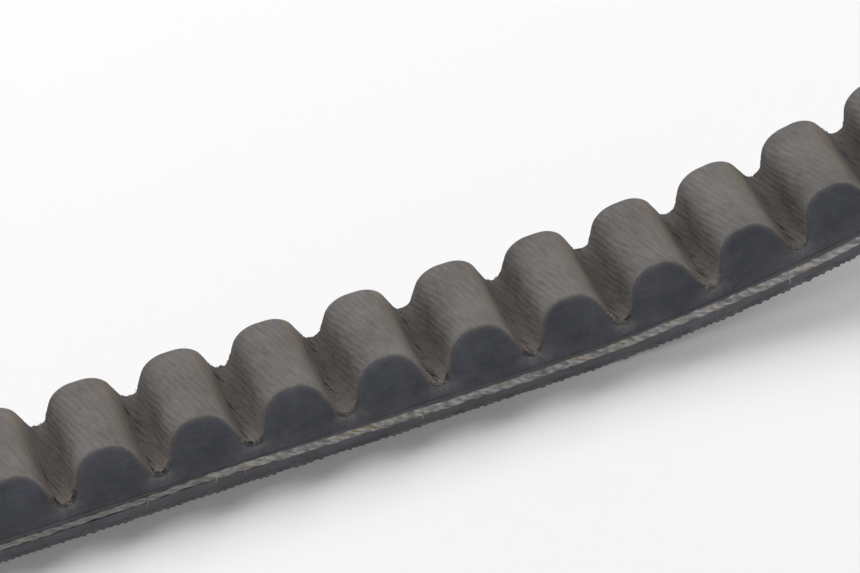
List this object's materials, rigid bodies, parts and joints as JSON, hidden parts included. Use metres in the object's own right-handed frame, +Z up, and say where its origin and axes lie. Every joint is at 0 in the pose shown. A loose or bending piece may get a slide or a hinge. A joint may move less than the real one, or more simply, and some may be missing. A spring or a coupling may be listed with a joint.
{
  "type": "raw-edge cogged v-belt",
  "caption": "Endless raw-edge cogged V-belt standing on its back: fabric-faced cogs inside the loop, cut flanks that show the tension cord, fabric back. The loop flexes flatter or rounder.",
  "frame": {"origin": "on the floor under the middle of the bottom run", "axes": "+X along the bottom run, +Y across the belt away from the pictured flank, +Z up"},
  "size_m": [0.3554, 0.02, 0.1326],
  "materials": {
    "facing_fabric": "rubber-soaked bias-woven cloth, brown-grey, dusty on the cog tops",
    "cog_rubber": "cut and ground, matte, dark blue-grey",
    "tension_cord": "twisted cord, cream to gold where the flank cuts it",
    "back_rubber": "cut and ground, matte, dark grey",
    "back_fabric": "rubber-soaked woven cloth, dark grey"
  },
  "bodies": {
    "bottom_run": {"facing_fabric_bottom": "facing_fabric", "cog_rubber_bottom": "cog_rubber", "tension_cords_bottom": "tension_cord", "back_rubber_bottom": "back_rubber", "back_fabric_bottom": "back_fabric"},
    "right_link_1": {"facing_fabric_r1": "facing_fabric", "cog_rubber_r1": "cog_rubber", "tension_cords_r1": "tension_cord", "back_rubber_r1": "back_rubber", "back_fabric_r1": "back_fabric"},
    "right_link_2": {"facing_fabric_r2": "facing_fabric", "cog_rubber_r2": "cog_rubber", "tension_cords_r2": "tension_cord", "back_rubber_r2": "back_rubber", "back_fabric_r2": "back_fabric"},
    "right_link_3": {"facing_fabric_r3": "facing_fabric", "cog_rubber_r3": "cog_rubber", "tension_cords_r3": "tension_cord", "back_rubber_r3": "back_rubber", "back_fabric_r3": "back_fabric"},
    "right_link_4": {"facing_fabric_r4": "facing_fabric", "cog_rubber_r4": "cog_rubber", "tension_cords_r4": "tension_cord", "back_rubber_r4": "back_rubber", "back_fabric_r4": "back_fabric"},
    "right_link_5": {"facing_fabric_r5": "facing_fabric", "cog_rubber_r5": "cog_rubber", "tension_cords_r5": "tension_cord", "back_rubber_r5": "back_rubber", "back_fabric_r5": "back_fabric"},
    "left_link_1": {"facing_fabric_l1": "facing_fabric", "cog_rubber_l1": "cog_rubber", "tension_cords_l1": "tension_cord", "back_rubber_l1": "back_rubber", "back_fabric_l1": "back_fabric"},
    "left_link_2": {"facing_fabric_l2": "facing_fabric", "cog_rubber_l2": "cog_rubber", "tension_cords_l2": "tension_cord", "back_rubber_l2": "back_rubber", "back_fabric_l2": "back_fabric"},
    "left_link_3": {"facing_fabric_l3": "facing_fabric", "cog_rubber_l3": "cog_rubber", "tension_cords_l3": "tension_cord", "back_rubber_l3": "back_rubber", "back_fabric_l3": "back_fabric"},
    "left_link_4": {"facing_fabric_l4": "facing_fabric", "cog_rubber_l4": "cog_rubber", "tension_cords_l4": "tension_cord", "back_rubber_l4": "back_rubber", "back_fabric_l4": "back_fabric"},
    "left_link_5": {"facing_fabric_l5": "facing_fabric", "cog_rubber_l5": "cog_rubber", "tension_cords_l5": "tension_cord", "back_rubber_l5": "back_rubber", "back_fabric_l5": "back_fabric"}
  },
  "joints": [
    {"name": "right_bend_1", "type": "hinge", "parent": "bottom_run", "child": "right_link_1", "pos_m": [0.0696, 0, 0.00185], "axis": [0, -1, 0], "range_deg": [-6, 20], "stiffness_Nm_per_rad": 1, "springref_deg": 2.86},
    {"name": "right_bend_2", "type": "hinge", "parent": "right_link_1", "child": "right_link_2", "pos_m": [0.13794, 0, 0.01323], "axis": [0, -1, 0], "range_deg": [-10, 3]},
    {"name": "right_bend_3", "type": "hinge", "parent": "right_link_2", "child": "right_link_3", "pos_m": [0.17586, 0, 0.06629], "axis": [0, -1, 0], "range_deg": [-20, 6]},
    {"name": "right_bend_4", "type": "hinge", "parent": "right_link_3", "child": "right_link_4", "pos_m": [0.13794, 0, 0.11935], "axis": [0, -1, 0], "range_deg": [-10, 3]},
    {"name": "right_bend_5", "type": "hinge", "parent": "right_link_4", "child": "right_link_5", "pos_m": [0.0696, 0, 0.13073], "axis": [0, -1, 0], "range_deg": [-6, 20]},
    {"name": "left_bend_1", "type": "hinge", "parent": "bottom_run", "child": "left_link_1", "pos_m": [-0.0696, 0, 0.00185], "axis": [0, 1, 0], "range_deg": [-6, 20]},
    {"name": "left_bend_2", "type": "hinge", "parent": "left_link_1", "child": "left_link_2", "pos_m": [-0.13794, 0, 0.01323], "axis": [0, 1, 0], "range_deg": [-10, 3]},
    {"name": "left_bend_3", "type": "hinge", "parent": "left_link_2", "child": "left_link_3", "pos_m": [-0.17586, 0, 0.06629], "axis": [0, 1, 0], "range_deg": [-20, 6]},
    {"name": "left_bend_4", "type": "hinge", "parent": "left_link_3", "child": "left_link_4", "pos_m": [-0.13794, 0, 0.11935], "axis": [0, 1, 0], "range_deg": [-10, 3]},
    {"name": "left_bend_5", "type": "hinge", "parent": "left_link_4", "child": "left_link_5", "pos_m": [-0.0696, 0, 0.13073], "axis": [0, 1, 0], "range_deg": [-6, 20]}
  ],
  "couplings": [
    {"joint": "right_bend_2", "follows": "right_bend_1", "ratio": -0.5},
    {"joint": "right_bend_3", "follows": "right_bend_1", "ratio": -1},
    {"joint": "right_bend_4", "follows": "right_bend_1", "ratio": -0.5},
    {"joint": "right_bend_5", "follows": "right_bend_1", "ratio": 1},
    {"joint": "left_bend_1", "follows": "right_bend_1", "ratio": 1},
    {"joint": "left_bend_2", "follows": "right_bend_1", "ratio": -0.5},
    {"joint": "left_bend_3", "follows": "right_bend_1", "ratio": -1},
    {"joint": "left_bend_4", "follows": "right_bend_1", "ratio": -0.5},
    {"joint": "left_bend_5", "follows": "right_bend_1", "ratio": 1}
  ]
}
